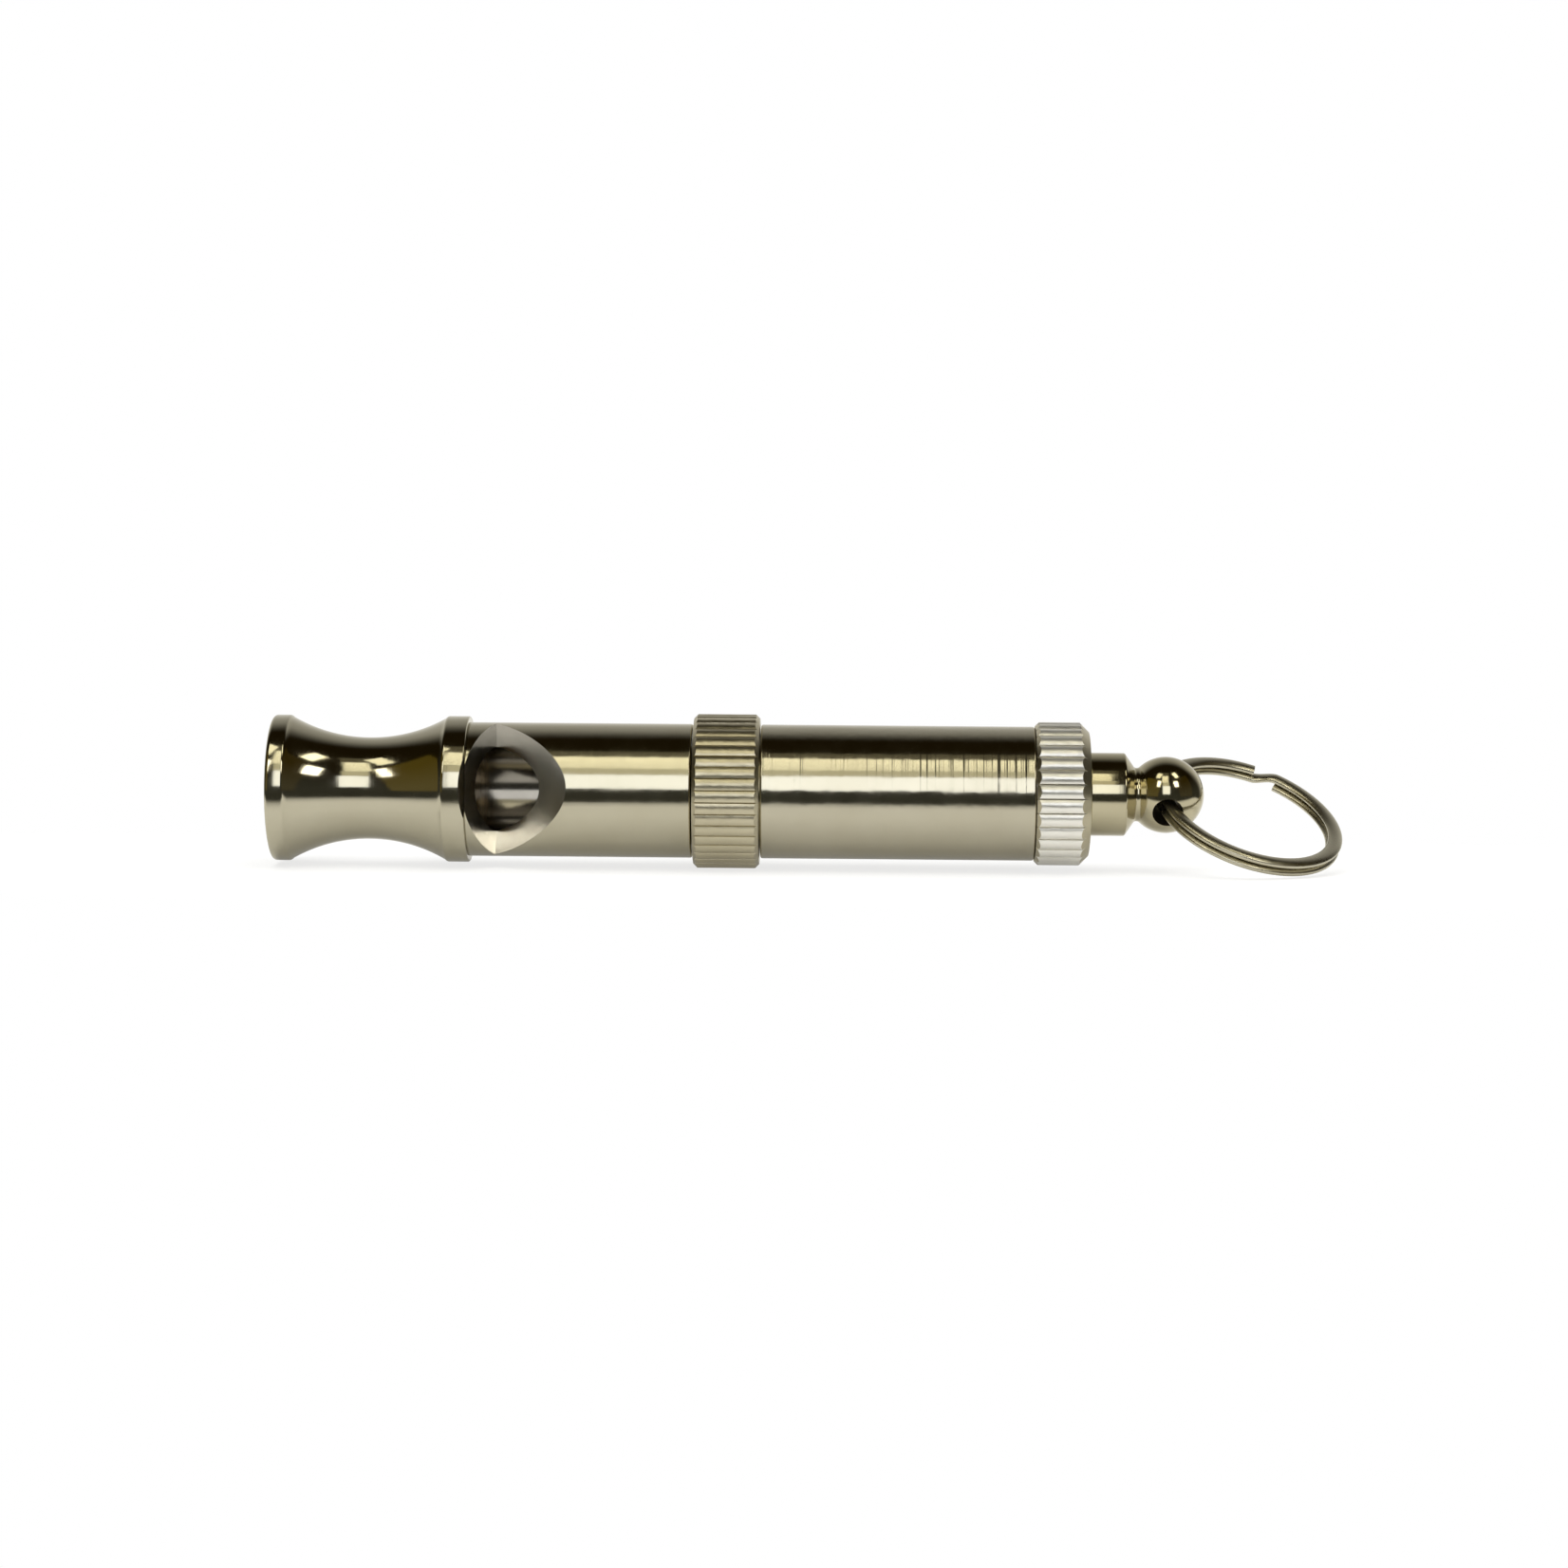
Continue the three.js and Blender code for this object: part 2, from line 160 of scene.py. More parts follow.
def add(tree, kind, inputs, **settings):
    """Adds a node with its settings, and sets its inputs or links them to other nodes' outputs."""
    node = tree.nodes.new(kind)
    for name, value in settings.items():
        setattr(node, name, value)
    for name, value in inputs.items():
        if isinstance(value, bpy.types.NodeSocket):
            tree.links.new(value, node.inputs[name])
        else:
            node.inputs[name].default_value = value
    return node


CLOUD_SIZE = 5
SMUDGE_SIZE = 1.5
SMUDGE_FAINT = 0.35
SMUDGE_FULL = 0.75
FACE_RINGS = (0, 2, 2)


def nickel_plate(
    name,
    bright,
    dull,
    gloss,
    haze,
    line_pitch,
    line_depth,
    centre=MOUTH,
    wave_size=1.6,
    wave_depth=0.004,
):
    """Plate on turned work: clouds of duller plate, smudges, buffing waves and the tool's rings
    round a centre. Sizes and depths are in millimetres. The rings are drawn several times coarser
    and deeper than real ones, to be seen."""
    material = bpy.data.materials.new(name)
    material.use_nodes = True
    tree = material.node_tree
    shader = tree.nodes["Principled BSDF"]
    shader.inputs["Metallic"].default_value = 1
    place = add(tree, "ShaderNodeTexCoord", {}).outputs["Object"]
    centring = add(tree, "ShaderNodeMapping", {"Vector": place, "Location": -centre})
    centred = centring.outputs["Vector"]
    clouds = add(
        tree,
        "ShaderNodeTexNoise",
        {"Vector": centred, "Scale": 1 / (CLOUD_SIZE * MM), "Detail": 4, "Roughness": 0.6},
    )
    tint = add(
        tree,
        "ShaderNodeMix",
        {0: clouds.outputs["Fac"], 6: linear(bright), 7: linear(dull)},
        data_type="RGBA",
    )
    tree.links.new(tint.outputs[2], shader.inputs["Base Color"])
    smudges = add(
        tree,
        "ShaderNodeTexNoise",
        {"Vector": centred, "Scale": 1 / (SMUDGE_SIZE * MM), "Detail": 5, "Roughness": 0.65},
    )
    roughness = add(
        tree,
        "ShaderNodeMapRange",
        {
            "Value": smudges.outputs["Fac"],
            "From Min": SMUDGE_FAINT,
            "From Max": SMUDGE_FULL,
            "To Min": gloss,
            "To Max": gloss + haze,
        },
    )
    tree.links.new(roughness.outputs["Result"], shader.inputs["Roughness"])
    waves = add(
        tree, "ShaderNodeTexNoise", {"Vector": centred, "Scale": 1 / (wave_size * MM), "Detail": 1}
    )
    buffed = add(
        tree, "ShaderNodeBump", {"Height": waves.outputs["Fac"], "Distance": wave_depth * MM}
    )
    along = add(tree, "ShaderNodeSeparateXYZ", {"Vector": centred}).outputs["X"]
    flattening = add(tree, "ShaderNodeMapping", {"Vector": centred, "Scale": FACE_RINGS})
    across = flattening.outputs["Vector"]
    outward = add(tree, "ShaderNodeVectorMath", {0: across}, operation="LENGTH").outputs["Value"]
    feed = add(tree, "ShaderNodeMath", {0: along, 1: outward}, operation="ADD").outputs["Value"]
    rings = add(
        tree,
        "ShaderNodeTexNoise",
        {"W": feed, "Scale": 1 / (line_pitch * MM), "Detail": 2},
        noise_dimensions="1D",
    )
    turned = add(
        tree,
        "ShaderNodeBump",
        {
            "Height": rings.outputs["Fac"],
            "Distance": line_depth * MM,
            "Normal": buffed.outputs["Normal"],
        },
    )
    tree.links.new(turned.outputs["Normal"], shader.inputs["Normal"])
    return material


# Polished nickel plate: a mirror with a slightly warm cast and the faintest rings from turning.
polished_nickel = nickel_plate(
    "polished nickel plate",
    "#C8C2AD",
    "#BBB49C",
    gloss=0.08,
    haze=0.06,
    line_pitch=0.4,
    line_depth=0.002,
)

# Thin plate in a reamed bore: little of the plating reaches it, so it is greyer and less clear.
bore_nickel = nickel_plate(
    "thin nickel plate in a bore",
    "#9C978D",
    "#8A857A",
    gloss=0.14,
    haze=0.06,
    line_pitch=0.3,
    line_depth=0.002,
)

# Sound window: a notch milled across the collar's edge and the tube by a double-angle cutter, steep
# behind the windway and flatter at the lip. It is cut before plating, and isn't polished after.
WINDOW_CREASE = 16.7
WINDOW_FLOOR = 0.3
WINDOW_BACK = 25
WINDOW_LIP = 49.5
WINDOW_ROLL = math.radians(5.5)
CUTTER_RADIUS = 14

window_side = Vector((0, -math.cos(WINDOW_ROLL), math.sin(WINDOW_ROLL)))
cutter_offset = window_side * (CUTTER_RADIUS + WINDOW_FLOOR) * MM

# Nickel plate on milled faces: pale and satin, with the cutter's arcs across them.
milled_nickel = nickel_plate(
    "nickel plate on milled faces",
    "#E6E3DC",
    "#D8D5CE",
    gloss=0.2,
    haze=0.08,
    line_pitch=0.25,
    line_depth=0.002,
    centre=MOUTH + cutter_offset,
)

cutter_shape = spun(bmesh.new(), [
    (WINDOW_CREASE - CUTTER_RADIUS * math.tan(math.radians(WINDOW_BACK)), 0, 0),
    (WINDOW_CREASE, CUTTER_RADIUS, 0),
    (WINDOW_CREASE + CUTTER_RADIUS * math.tan(math.radians(WINDOW_LIP)), 0, 0),
], closed=False)
bmesh.ops.translate(cutter_shape, verts=cutter_shape.verts[:], vec=cutter_offset)


def cutting(name, bm, *finishes):
    """Makes a bmesh a cutter, whose faces leave the second finish on what they cut."""
    for face in bm.faces:
        face.material_index = 1
    return placed(name, bm, *finishes)


def milled(piece, cutter):
    """Cuts one piece away from another and keeps the result as plain mesh."""
    cut = piece.modifiers.new("cut", "BOOLEAN")
    cut.operation = "DIFFERENCE"
    cut.solver = "EXACT"
    cut.object = cutter
    bpy.context.view_layer.update()
    graph = bpy.context.evaluated_depsgraph_get()
    shape = bpy.data.meshes.new_from_object(piece.evaluated_get(graph))
    piece.modifiers.remove(cut)
    piece.data = shape


window_cutter = cutting("window_cutter", cutter_shape, polished_nickel, milled_nickel)

# The mouthpiece's own outline, with the waist as one arc between flange and collar.
waist_depth = FLANGE_RADIUS - WAIST_CHAMFER - WAIST_RADIUS
waist_half = (WAIST_END - FLANGE_END) / 2
waist_arc = (waist_half ** 2 + waist_depth ** 2) / (2 * waist_depth)
waist_reach = math.degrees(math.asin(waist_half / waist_arc))
waist = arc(
    FLANGE_END + waist_half,
    WAIST_RADIUS + waist_arc,
    waist_arc,
    270 - waist_reach,
    270 + waist_reach,
    WAIST_STEPS,
)
mouthpiece_shape = spun(bmesh.new(), [
    (0, MOUTH_BORE + MOUTH_LEAD_IN, MOUTH_ROUNDING),
    (0, FLANGE_RADIUS, FLANGE_ROUNDING),
    (FLANGE_END - WAIST_CHAMFER, FLANGE_RADIUS, MOUTH_ROUNDING),
    *waist,
    (WAIST_END + WAIST_CHAMFER, FLANGE_RADIUS, MOUTH_ROUNDING),
    (COLLAR_END, FLANGE_RADIUS, MOUTH_ROUNDING),
    (COLLAR_END, SOCKET_RADIUS, 0),
    (SOCKET_START, SOCKET_RADIUS, 0),
    (SOCKET_START, MOUTH_BORE, 0),
    (MOUTH_LEAD_IN, MOUTH_BORE, MOUTH_ROUNDING),
])
bored(mouthpiece_shape, MOUTH_BORE)
mouthpiece = placed(
    "mouthpiece_turned", mouthpiece_shape, polished_nickel, milled_nickel, bore_nickel
)
milled(mouthpiece, window_cutter)
smoothed(mouthpiece)
fitted(mouthpiece, "mouthpiece", "whistle_body")

# Body tube: the sounding tube, drawn brass of 10 by 1.8 mm with a turned tenon, tapped at the back
# for the tuning screw, polished and nickel plated. It is soldered into the mouthpiece.
TUBE_RADIUS = 5.0
TUBE_BORE = 3.2
TUBE_END = 31.35
TUBE_ROUNDING = 0.15
TENON_RADIUS = 4.3
TENON_GAP = 0.1
SHOULDER_GAP = 0.01
SHOULDER_ROUNDING = 0.02
TAPPED_START = 23.55
TAPPED_RADIUS = 4.08
TAPPED_ROUNDING = 0.1

# Bright nickel plate on drawn tube: almost as clear a mirror, with very slight drag rings and a
# waviness that shows along the edges of the highlights.
tube_nickel = nickel_plate(
    "bright nickel plate on drawn tube",
    "#C8C2AD",
    "#BBB49C",
    gloss=0.1,
    haze=0.06,
    line_pitch=0.5,
    line_depth=0.01,
    wave_size=1.2,
    wave_depth=0.007,
)

tube_shape = spun(bmesh.new(), [
    (SOCKET_START + TENON_GAP, TUBE_BORE, 0),
    (SOCKET_START + TENON_GAP, TENON_RADIUS, 0),
    (COLLAR_END + SHOULDER_GAP, TENON_RADIUS, 0),
    (COLLAR_END + SHOULDER_GAP, TUBE_RADIUS, SHOULDER_ROUNDING),
    (TUBE_END, TUBE_RADIUS, TUBE_ROUNDING),
    (TUBE_END, TAPPED_RADIUS, TAPPED_ROUNDING),
    (TAPPED_START, TAPPED_RADIUS, 0),
    (TAPPED_START, TUBE_BORE, 0),
])
bored(tube_shape, TUBE_BORE)
body_tube = placed("body_tube_turned", tube_shape, tube_nickel, milled_nickel, bore_nickel)
milled(body_tube, window_cutter)
bpy.data.objects.remove(window_cutter)
smoothed(body_tube)
fitted(body_tube, "body_tube", "whistle_body")

# Windway plug: a short brass cylinder with a flat filed on it, pressed into the tube's bore. The
# flat leaves the slit that sends the breath across the window to the lip.
PLUG_START = 12.748
PLUG_LENGTH = 2.4
PLUG_RADIUS = 3.15
PLUG_FLAT = 2.65
PLUG_STEPS = 96
PLUG_RIM_ANGLE = 40
PLUG_ROUNDING = 0.06

# Turned brass, unplated: yellow and satin, seen only deep in the window.
plug_brass = nickel_plate(
    "turned brass", "#B79B5E", "#8F7442", gloss=0.28, haze=0.15, line_pitch=0.25, line_depth=0.002
)

plug_middle = MOUTH + Vector((PLUG_START + PLUG_LENGTH / 2, 0, 0)) * MM
plug_shape = bmesh.new()
bmesh.ops.create_cone(
    plug_shape,
    cap_ends=True,
    segments=PLUG_STEPS,
    radius1=PLUG_RADIUS * MM,
    radius2=PLUG_RADIUS * MM,
    depth=PLUG_LENGTH * MM,
    matrix=Matrix.Translation(plug_middle) @ Matrix.Rotation(math.pi / 2, 4, "Y"),
)
bmesh.ops.bisect_plane(
    plug_shape,
    geom=plug_shape.verts[:] + plug_shape.edges[:] + plug_shape.faces[:],
    plane_co=MOUTH + window_side * PLUG_FLAT * MM,
    plane_no=window_side,
    clear_outer=True,
)
bmesh.ops.holes_fill(plug_shape, edges=plug_shape.edges[:])
rims = [
    edge for edge in plug_shape.edges if edge.calc_face_angle(0) > math.radians(PLUG_RIM_ANGLE)
]
bmesh.ops.bevel(
    plug_shape,
    geom=rims,
    offset=PLUG_ROUNDING * MM,
    affect="EDGES",
    segments=2,
    profile=0.5,
    material=-1,
)
windway_plug = smoothed(placed("windway_plug_filed", plug_shape, plug_brass))
fitted(windway_plug, "windway_plug", "whistle_body")

# Tuning screw: a piston land that closes the sounding bore, an undercut and an eight by one
# millimetre thread, cut on brass rod and thinly plated. Its tail is fixed in the rear sleeve.
PISTON_FACE = 22.55
PISTON_RADIUS = 3.12
PISTON_ROUNDING = 0.15
LAND_END = 23.75
LAND_ROUNDING = 0.05
UNDERCUT_RADIUS = 2.52
UNDERCUT_OVERLAP = 0.2
THREAD_START = 24.75
THREAD_END = 36.4
THREAD_PITCH = 1.0
THREAD_CREST = 4.0
THREAD_ROOT = 3.39
THREAD_EDGE = 0.02
THREAD_RUN_IN = 1.5
THREAD_MERGE = 0.002
SPARE_TURNS = 2
STEPS_A_TURN = 96
TAIL_END = 49.45
TAIL_OVERLAP = 0.05
TAIL_ROUNDING = 0.15

# Cut thread under thin nickel: the brass shows through a little, and the die leaves fine rings.
thread_nickel = nickel_plate(
    "thin nickel plate on cut thread",
    "#BDB396",
    "#A3966F",
    gloss=0.2,
    haze=0.12,
    line_pitch=0.12,
    line_depth=0.001,
)

screw_shape = bmesh.new()
first_turn = [
    (0, THREAD_ROOT),
    (0.25, THREAD_ROOT),
    (0.55, THREAD_CREST - THREAD_EDGE),
    (0.58, THREAD_CREST),
    (0.67, THREAD_CREST),
    (0.7, THREAD_CREST - THREAD_EDGE),
    (1, THREAD_ROOT),
]
thread_points = [
    screw_shape.verts.new(
        MOUTH + Vector((THREAD_START - THREAD_RUN_IN + share * THREAD_PITCH, 0, radius)) * MM
    )
    for share, radius in first_turn
]
thread_wire = [screw_shape.edges.new(pair) for pair in zip(thread_points, thread_points[1:])]
turns = math.ceil((THREAD_END - THREAD_START) / THREAD_PITCH + SPARE_TURNS)
bmesh.ops.spin(
    screw_shape,
    geom=thread_points + thread_wire,
    cent=MOUTH,
    axis=(1, 0, 0),
    dvec=(THREAD_PITCH * MM / STEPS_A_TURN, 0, 0),
    angle=2 * math.pi * turns,
    steps=STEPS_A_TURN * turns,
)
bmesh.ops.remove_doubles(screw_shape, verts=screw_shape.verts[:], dist=THREAD_MERGE * MM)
for station, side in ((THREAD_START, -1), (THREAD_END, 1)):
    bmesh.ops.bisect_plane(
        screw_shape,
        geom=screw_shape.verts[:] + screw_shape.edges[:] + screw_shape.faces[:],
        plane_co=MOUTH + Vector((station, 0, 0)) * MM,
        plane_no=(side, 0, 0),
        clear_outer=True,
    )
bmesh.ops.holes_fill(screw_shape, edges=[edge for edge in screw_shape.edges if edge.is_boundary])
spun(screw_shape, [
    (PISTON_FACE, 0, 0),
    (PISTON_FACE, PISTON_RADIUS, PISTON_ROUNDING),
    (LAND_END, PISTON_RADIUS, LAND_ROUNDING),
    (LAND_END, UNDERCUT_RADIUS, 0),
    (THREAD_START + UNDERCUT_OVERLAP, UNDERCUT_RADIUS, 0),
    (THREAD_START + UNDERCUT_OVERLAP, 0, 0),
], closed=False)
spun(screw_shape, [
    (THREAD_END - TAIL_OVERLAP, 0, 0),
    (THREAD_END - TAIL_OVERLAP, THREAD_CREST, 0),
    (TAIL_END, THREAD_CREST, TAIL_ROUNDING),
    (TAIL_END, 0, 0),
], closed=False)
tuning_screw = smoothed(placed("tuning_screw_cut", screw_shape, thread_nickel))
fitted(tuning_screw, "tuning_screw", "screw")

# Lock ring: a nut on the tuning screw that jams against the tube. It is turned from brass bar with
# a fine straight knurl rolled into it and both rims chamfered, then nickel plated.
LOCK_START = 31.45
LOCK_END = 36.35
LOCK_BORE = 4.08
LOCK_LEAD_IN = 0.2
LOCK_CREST = 5.75
LOCK_DEPTH = 0.18
LOCK_TEETH = 40
LOCK_GROOVE = 0.1
LOCK_SLOPE = 22
LOCK_CHAMFER = 0.3
CREST_STEPS = 5
HALF_GRID = 0.5


def knurl_tooth(pitch, groove, slope, depth):
    """One tooth across its pitch, as places and drops below the crest: a rounded crest that falls
    to a slope, in degrees, at its sides, and half a narrow groove on either side."""
    side = (pitch - groove) / 2
    bend = side / math.sin(math.radians(slope))
    angles = [
        math.radians(slope * step / CREST_STEPS) for step in range(-CREST_STEPS, CREST_STEPS + 1)
    ]
    crest = [(bend * math.sin(angle), bend * (1 - math.cos(angle))) for angle in angles]
    return [(-pitch / 2, depth), *crest, (pitch / 2, depth)]


def knurled(bm, teeth, crest, tooth, loops):
    """Carries one tooth through loops along the axis and repeats it all the way round. A loop gives
    the station and radius of a point at a radius of the knurl itself."""
    last_point, last_loop = len(tooth) - 1, len(loops) - 1
    patch = bmesh.ops.create_grid(
        bm, x_segments=last_point, y_segments=last_loop, size=HALF_GRID
    )["verts"]
    for vert in patch:
        place, drop = tooth[round((vert.co.x + HALF_GRID) * last_point)]
        station, radius = loops[round((vert.co.y + HALF_GRID) * last_loop)](crest - drop)
        turn = place / crest
        vert.co = MOUTH + Vector((station, -radius * math.sin(turn), radius * math.cos(turn))) * MM
    bmesh.ops.spin(
        bm,
        geom=bm.verts[:] + bm.edges[:] + bm.faces[:],
        cent=MOUTH,
        axis=(1, 0, 0),
        angle=2 * math.pi * (teeth - 1) / teeth,
        steps=teeth - 1,
        use_duplicate=True,
    )
    return bm


# Nickel plate on rolled knurl: each crest is burnished by the roll and mirrors the lamps as a
# line, which small dents make uneven.
lock_nickel = nickel_plate(
    "nickel plate on fine knurl",
    "#D2CAB0",
    "#C2B99D",
    gloss=0.28,
    haze=0.12,
    line_pitch=0.3,
    line_depth=0.002,
    wave_size=0.6,
    wave_depth=0.03,
)

lock_edge = LOCK_CREST - LOCK_CHAMFER
lock_pitch = 2 * math.pi * LOCK_CREST / LOCK_TEETH
lock_tooth = knurl_tooth(lock_pitch, LOCK_GROOVE, LOCK_SLOPE, LOCK_DEPTH)
lock_ring = placed("lock_ring_knurled", knurled(bmesh.new(), LOCK_TEETH, LOCK_CREST, lock_tooth, [
    lambda knurl: (LOCK_START + LOCK_LEAD_IN, LOCK_BORE),
    lambda knurl: (LOCK_START, LOCK_BORE + LOCK_LEAD_IN),
    lambda knurl: (LOCK_START, min(lock_edge, knurl)),
    lambda knurl: (LOCK_START + max(0, knurl - lock_edge), knurl),
    lambda knurl: (LOCK_END - max(0, knurl - lock_edge), knurl),
    lambda knurl: (LOCK_END, min(lock_edge, knurl)),
    lambda knurl: (LOCK_END, LOCK_BORE + LOCK_LEAD_IN),
    lambda knurl: (LOCK_END - LOCK_LEAD_IN, LOCK_BORE),
    lambda knurl: (LOCK_START + LOCK_LEAD_IN, LOCK_BORE),
]), lock_nickel)
smoothed(lock_ring)
fitted(lock_ring, "lock_ring", "lock_nut")

# Rear sleeve: the barrel that is gripped and turned to tune the whistle, brass tube with fine
# turning lines left under its nickel plate. The screw's tail and the end cap are fixed in it.
SLEEVE_START = 36.45
SLEEVE_END = 56.8
SLEEVE_RADIUS = 5.0
SLEEVE_BORE = 4.08
SLEEVE_ROUNDING = 0.15
SLEEVE_FRONT_EASE = 0.1
SLEEVE_BACK_EASE = 0.05

# Nickel plate over turning lines: bright, with rings and waves that break the highlights' edges.
sleeve_nickel = nickel_plate(
    "nickel plate over turning lines",
    "#C8C2AE",
    "#BBB49E",
    gloss=0.1,
    haze=0.07,
    line_pitch=0.5,
    line_depth=0.026,
    wave_size=0.9,
    wave_depth=0.01,
)

rear_sleeve = placed("rear_sleeve_turned", spun(bmesh.new(), [
    (SLEEVE_START, SLEEVE_BORE, SLEEVE_FRONT_EASE),
    (SLEEVE_START, SLEEVE_RADIUS, SLEEVE_ROUNDING),
    (SLEEVE_END, SLEEVE_RADIUS, SLEEVE_ROUNDING),
    (SLEEVE_END, SLEEVE_BORE, SLEEVE_BACK_EASE),
]), sleeve_nickel)
smoothed(rear_sleeve)
fitted(rear_sleeve, "rear_sleeve", "tuning_barrel")

# End cap: the coarse-knurled head that closes the sleeve, with a spigot pressed into it and a hole
# for the stud's shank. Turned brass with a broad chamfer at the back, plated paler and duller.
CAP_START = 56.85
CAP_END = 60.85
CAP_CREST = 5.35
CAP_DEPTH = 0.4
CAP_TEETH = 30
CAP_GROOVE = 0.12
CAP_SLOPE = 34
CAP_FRONT = 0.3
CAP_BACK = 0.7
SPIGOT_START = 52.85
SPIGOT_RADIUS = 4.03
SHANK_HOLE = 1.65
SHANK_HOLE_START = 55.75
RIM_LEAN = 0.4

# Satin nickel plate: pale and soft, so that every tooth shows the lamps as a white bar, with a
# frosty grain that scatters a share of the light evenly and small dents from the roll.
CAP_FROST = 0.08
cap_nickel = nickel_plate(
    "satin nickel plate on coarse knurl",
    "#FBF9F2",
    "#F2EFE5",
    gloss=0.3,
    haze=0.1,
    line_pitch=0.3,
    line_depth=0.002,
    wave_size=0.6,
    wave_depth=0.03,
)
cap_nickel.node_tree.nodes["Principled BSDF"].inputs["Metallic"].default_value = 1 - CAP_FROST

# Nickel plate on turned rims: cut after the knurl, so greyer and smoother than the teeth.
rim_nickel = nickel_plate(
    "nickel plate on turned rims",
    "#D2CAB0",
    "#C2B99D",
    gloss=0.28,
    haze=0.08,
    line_pitch=0.3,
    line_depth=0.002,
)

cap_front = CAP_CREST - CAP_FRONT
cap_back = CAP_CREST - CAP_BACK
cap_pitch = 2 * math.pi * CAP_CREST / CAP_TEETH
cap_tooth = knurl_tooth(cap_pitch, CAP_GROOVE, CAP_SLOPE, CAP_DEPTH)
cap_shape = knurled(bmesh.new(), CAP_TEETH, CAP_CREST, cap_tooth, [
    lambda knurl: (SHANK_HOLE_START, 0),
    lambda knurl: (SHANK_HOLE_START, SHANK_HOLE),
    lambda knurl: (CAP_END, SHANK_HOLE),
    lambda knurl: (CAP_END, min(cap_back, knurl)),
    lambda knurl: (CAP_END - max(0, knurl - cap_back), knurl),
    lambda knurl: (CAP_START + max(0, knurl - cap_front), knurl),
    lambda knurl: (CAP_START, min(cap_front, knurl)),
    lambda knurl: (CAP_START, SPIGOT_RADIUS),
    lambda knurl: (SPIGOT_START, SPIGOT_RADIUS),
    lambda knurl: (SPIGOT_START, 0),
])
for face in cap_shape.faces:
    face.normal_update()
    if abs(face.normal.x) > RIM_LEAN:
        face.material_index = 1
end_cap = placed("end_cap_knurled", cap_shape, cap_nickel, rim_nickel)
smoothed(end_cap)
fitted(end_cap, "end_cap", "tuning_barrel")

# Ball stud: boss, neck and ball turned in one from brass bar, cross-drilled for the ring, polished
# and nickel plated. Its shank is pressed into the end cap.
SHANK_START = 55.85
SHANK_RADIUS = 1.6
BOSS_START = 60.9
BOSS_RADIUS = 3.1
BOSS_CHAMFER = 63.55
STUD_ROUNDING = 0.1
NECK_START = 64.3
NECK_RADIUS = 2.0
NECK_ROUNDING = 0.12
BALL_RADIUS = 2.85
BALL_STEPS = 40
RING_HOLE = 1.1
HOLE_FLARE = 1.2
FLARE_OUT = 0.1
FLARE_IN = 0.12
DRILL_REACH = 6
DRILL_STEPS = 96

swing = next(joint for joint in frame["joints"] if joint["name"] == "ring_swing")
hole_axis = Vector(swing["axis"]).normalized()
ball_centre = Vector(swing["pos_m"])
ball_station = (ball_centre.x - MOUTH.x) / MM

# Polished nickel on the small stud, a shade darker and yellower all over than the barrels' plate.
stud_nickel = nickel_plate(
    "polished nickel plate, yellower",
    "#C8C0A4",
    "#B9B092",
    gloss=0.08,
    haze=0.06,
    line_pitch=0.4,
    line_depth=0.002,
)

# Thin plate in a drilled hole: dull, with its colour darkened as painted shade inside the hole.
hole_nickel_painted_shade = nickel_plate(
    "thin nickel plate in a drilled hole, painted shade",
    "#877F6B",
    "#5F584A",
    gloss=0.32,
    haze=0.15,
    line_pitch=0.2,
    line_depth=0.003,
)

neck_angle = 180 - math.degrees(math.asin(NECK_RADIUS / BALL_RADIUS))
ball = arc(ball_station, 0, BALL_RADIUS, neck_angle, 0, BALL_STEPS)
ball[-1] = (ball_station + BALL_RADIUS, 0, 0)
ball[0] = (ball[0][0], ball[0][1], NECK_ROUNDING)
ball_stud = placed("ball_stud_turned", spun(bmesh.new(), [
    (SHANK_START, 0, 0),
    (SHANK_START, SHANK_RADIUS, STUD_ROUNDING),
    (BOSS_START, SHANK_RADIUS, 0),
    (BOSS_START, BOSS_RADIUS, STUD_ROUNDING),
    (BOSS_CHAMFER, BOSS_RADIUS, STUD_ROUNDING),
    (NECK_START, NECK_RADIUS, NECK_ROUNDING),
    *ball,
], closed=False), stud_nickel, hole_nickel_painted_shade)
hole_rim = math.sqrt(BALL_RADIUS ** 2 - RING_HOLE ** 2)
hole_outline = [
    (-DRILL_REACH, 0),
    (-DRILL_REACH, HOLE_FLARE),
    (-hole_rim - FLARE_OUT, HOLE_FLARE),
    (-hole_rim + FLARE_IN, RING_HOLE),
    (hole_rim - FLARE_IN, RING_HOLE),
    (hole_rim + FLARE_OUT, HOLE_FLARE),
    (DRILL_REACH, HOLE_FLARE),
    (DRILL_REACH, 0),
]
drill_shape = bmesh.new()
drill_points = [
    drill_shape.verts.new(Vector((radius, 0, depth)) * MM) for depth, radius in hole_outline
]
drill_wire = [drill_shape.edges.new(pair) for pair in zip(drill_points, drill_points[1:])]
bmesh.ops.spin(
    drill_shape,
    geom=drill_points + drill_wire,
    cent=(0, 0, 0),
    axis=(0, 0, 1),
    angle=2 * math.pi,
    steps=DRILL_STEPS,
    use_merge=True,
)
hole_turn = hole_axis.to_track_quat("Z", "Y").to_matrix().to_4x4()
bmesh.ops.transform(
    drill_shape, matrix=Matrix.Translation(ball_centre) @ hole_turn, verts=drill_shape.verts[:]
)
# The drill leaves the hole's plate on the faces it cuts, darkened there as painted shade.
drill = cutting("ring_hole_drill", drill_shape, stud_nickel, hole_nickel_painted_shade)
milled(ball_stud, drill)
bpy.data.objects.remove(drill)
smoothed(ball_stud)
fitted(ball_stud, "ball_stud", "tuning_barrel")

